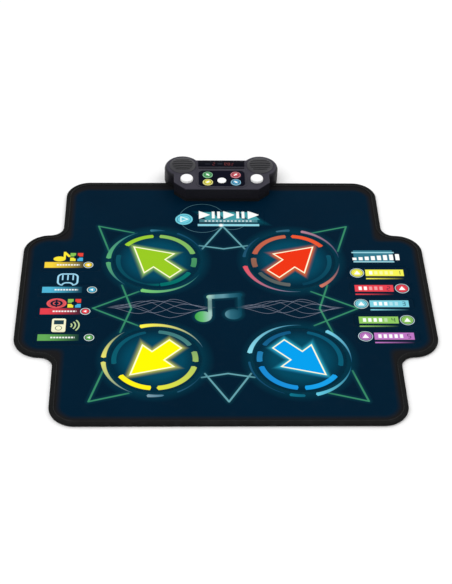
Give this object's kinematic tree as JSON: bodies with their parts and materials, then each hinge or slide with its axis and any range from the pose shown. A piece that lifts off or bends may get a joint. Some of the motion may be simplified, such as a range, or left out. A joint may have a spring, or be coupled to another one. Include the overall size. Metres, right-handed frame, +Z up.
{
  "type": "electronic dance mat",
  "caption": "Soft cross-shaped dance mat with sprung press pads under printed arrows and a plastic control box clamped over its rear edge.",
  "frame": {"origin": "on the floor, under the middle of the mat outline", "axes": "+Z up, +Y from the player towards the control box, +X to the right of the player"},
  "size_m": [0.94, 0.902, 0.0535],
  "materials": {
    "printed_cover": "fine woven polyester with a glossy transfer print",
    "binding_tape": "black woven binding tape, stitched",
    "clear_film": "milky polyester film",
    "grey_foam": "closed-cell foam sheet",
    "backing_cloth": "dotted non-slip cloth",
    "steel": "zinc plated",
    "charcoal_plastic": "satin moulded shell",
    "black_plastic": "satin moulded plastic",
    "speaker_cone": "black basket and paper cone",
    "rubber": "soft matt",
    "gloss_black": "polished tinted acrylic",
    "circuit_board": "green solder mask",
    "cell_wrap": "printed metal sleeve",
    "white_plastic": "satin white cap",
    "green_plastic": "translucent cap",
    "red_plastic": "translucent cap",
    "yellow_plastic": "translucent cap",
    "blue_plastic": "translucent cap"
  },
  "bodies": {
    "root": {"top_cover": "printed_cover", "edge_binding": "binding_tape", "upper_circuit_film": "clear_film", "foam_spacer": "grey_foam", "lower_circuit_film": "clear_film", "foam_base": "grey_foam", "non_slip_backing": "backing_cloth", "mat_clamp_plate": "steel", "clamp_screw_left": "steel", "clamp_screw_right": "steel", "ribbon_tail": "clear_film", "upper_housing": "charcoal_plastic", "lower_housing": "charcoal_plastic", "housing_screw_front_left": "steel", "housing_screw_front_right": "steel", "housing_screw_rear_left": "steel", "housing_screw_rear_right": "steel", "rubber_foot_left": "rubber", "rubber_foot_right": "rubber", "speaker_grille_left": "black_plastic", "speaker_grille_right": "black_plastic", "speaker_driver_left": "speaker_cone", "speaker_driver_right": "speaker_cone", "display_window": "gloss_black", "display_module": "black_plastic", "button_panel": "gloss_black", "main_board": "circuit_board", "keypad_membrane": "rubber", "audio_socket": "black_plastic", "usb_socket": "steel", "battery_cell_1": "cell_wrap", "battery_cell_2": "cell_wrap", "battery_cell_3": "cell_wrap", "battery_cell_4": "cell_wrap", "battery_contact_left": "steel", "battery_contact_right": "steel"},
    "arrow_pad_rear_left_body": {"arrow_pad_rear_left": "printed_cover"},
    "arrow_pad_rear_right_body": {"arrow_pad_rear_right": "printed_cover"},
    "arrow_pad_front_left_body": {"arrow_pad_front_left": "printed_cover"},
    "arrow_pad_front_right_body": {"arrow_pad_front_right": "printed_cover"},
    "start_pad_body": {"start_pad": "printed_cover"},
    "level_pad_1_body": {"level_pad_1": "printed_cover"},
    "level_pad_2_body": {"level_pad_2": "printed_cover"},
    "level_pad_3_body": {"level_pad_3": "printed_cover"},
    "level_pad_4_body": {"level_pad_4": "printed_cover"},
    "level_pad_5_body": {"level_pad_5": "printed_cover"},
    "mode_pad_1_body": {"mode_pad_1": "printed_cover"},
    "mode_pad_2_body": {"mode_pad_2": "printed_cover"},
    "mode_pad_3_body": {"mode_pad_3": "printed_cover"},
    "mode_pad_4_body": {"mode_pad_4": "printed_cover"},
    "button_green_body": {"button_green": "green_plastic"},
    "button_red_body": {"button_red": "red_plastic"},
    "button_yellow_body": {"button_yellow": "yellow_plastic"},
    "button_blue_body": {"button_blue": "blue_plastic"},
    "button_centre_body": {"button_centre": "white_plastic"},
    "button_dome_left_body": {"button_dome_left": "white_plastic"},
    "button_dome_right_body": {"button_dome_right": "white_plastic"},
    "battery_door_body": {"battery_door": "charcoal_plastic", "battery_door_screw": "steel"}
  },
  "joints": [
    {"name": "arrow_rear_left_press", "type": "slide", "parent": "root", "child": "arrow_pad_rear_left_body", "axis": [0, 0, -1], "range_m": [0, 0.001], "stiffness_N_per_m": 6000},
    {"name": "arrow_rear_right_press", "type": "slide", "parent": "root", "child": "arrow_pad_rear_right_body", "axis": [0, 0, -1], "range_m": [0, 0.001], "stiffness_N_per_m": 6000},
    {"name": "arrow_front_left_press", "type": "slide", "parent": "root", "child": "arrow_pad_front_left_body", "axis": [0, 0, -1], "range_m": [0, 0.001], "stiffness_N_per_m": 6000},
    {"name": "arrow_front_right_press", "type": "slide", "parent": "root", "child": "arrow_pad_front_right_body", "axis": [0, 0, -1], "range_m": [0, 0.001], "stiffness_N_per_m": 6000},
    {"name": "start_press", "type": "slide", "parent": "root", "child": "start_pad_body", "axis": [0, 0, -1], "range_m": [0, 0.001], "stiffness_N_per_m": 3000},
    {"name": "level_1_press", "type": "slide", "parent": "root", "child": "level_pad_1_body", "axis": [0, 0, -1], "range_m": [0, 0.001], "stiffness_N_per_m": 3000},
    {"name": "level_2_press", "type": "slide", "parent": "root", "child": "level_pad_2_body", "axis": [0, 0, -1], "range_m": [0, 0.001], "stiffness_N_per_m": 3000},
    {"name": "level_3_press", "type": "slide", "parent": "root", "child": "level_pad_3_body", "axis": [0, 0, -1], "range_m": [0, 0.001], "stiffness_N_per_m": 3000},
    {"name": "level_4_press", "type": "slide", "parent": "root", "child": "level_pad_4_body", "axis": [0, 0, -1], "range_m": [0, 0.001], "stiffness_N_per_m": 3000},
    {"name": "level_5_press", "type": "slide", "parent": "root", "child": "level_pad_5_body", "axis": [0, 0, -1], "range_m": [0, 0.001], "stiffness_N_per_m": 3000},
    {"name": "mode_1_press", "type": "slide", "parent": "root", "child": "mode_pad_1_body", "axis": [0, 0, -1], "range_m": [0, 0.001], "stiffness_N_per_m": 3000},
    {"name": "mode_2_press", "type": "slide", "parent": "root", "child": "mode_pad_2_body", "axis": [0, 0, -1], "range_m": [0, 0.001], "stiffness_N_per_m": 3000},
    {"name": "mode_3_press", "type": "slide", "parent": "root", "child": "mode_pad_3_body", "axis": [0, 0, -1], "range_m": [0, 0.001], "stiffness_N_per_m": 3000},
    {"name": "mode_4_press", "type": "slide", "parent": "root", "child": "mode_pad_4_body", "axis": [0, 0, -1], "range_m": [0, 0.001], "stiffness_N_per_m": 3000},
    {"name": "button_green_press", "type": "slide", "parent": "root", "child": "button_green_body", "axis": [0, 0, -1], "range_m": [0, 0.0012], "stiffness_N_per_m": 800},
    {"name": "button_red_press", "type": "slide", "parent": "root", "child": "button_red_body", "axis": [0, 0, -1], "range_m": [0, 0.0012], "stiffness_N_per_m": 800},
    {"name": "button_yellow_press", "type": "slide", "parent": "root", "child": "button_yellow_body", "axis": [0, 0, -1], "range_m": [0, 0.0012], "stiffness_N_per_m": 800},
    {"name": "button_blue_press", "type": "slide", "parent": "root", "child": "button_blue_body", "axis": [0, 0, -1], "range_m": [0, 0.0012], "stiffness_N_per_m": 800},
    {"name": "button_centre_press", "type": "slide", "parent": "root", "child": "button_centre_body", "axis": [0, 0, -1], "range_m": [0, 0.0012], "stiffness_N_per_m": 800},
    {"name": "button_dome_left_press", "type": "slide", "parent": "root", "child": "button_dome_left_body", "axis": [0, 0, -1], "range_m": [0, 0.002], "stiffness_N_per_m": 800},
    {"name": "button_dome_right_press", "type": "slide", "parent": "root", "child": "button_dome_right_body", "axis": [0, 0, -1], "range_m": [0, 0.002], "stiffness_N_per_m": 800},
    {"name": "battery_door_pull", "type": "slide", "parent": "root", "child": "battery_door_body", "axis": [0, 0, -1], "range_m": [0, 0.02]}
  ]
}
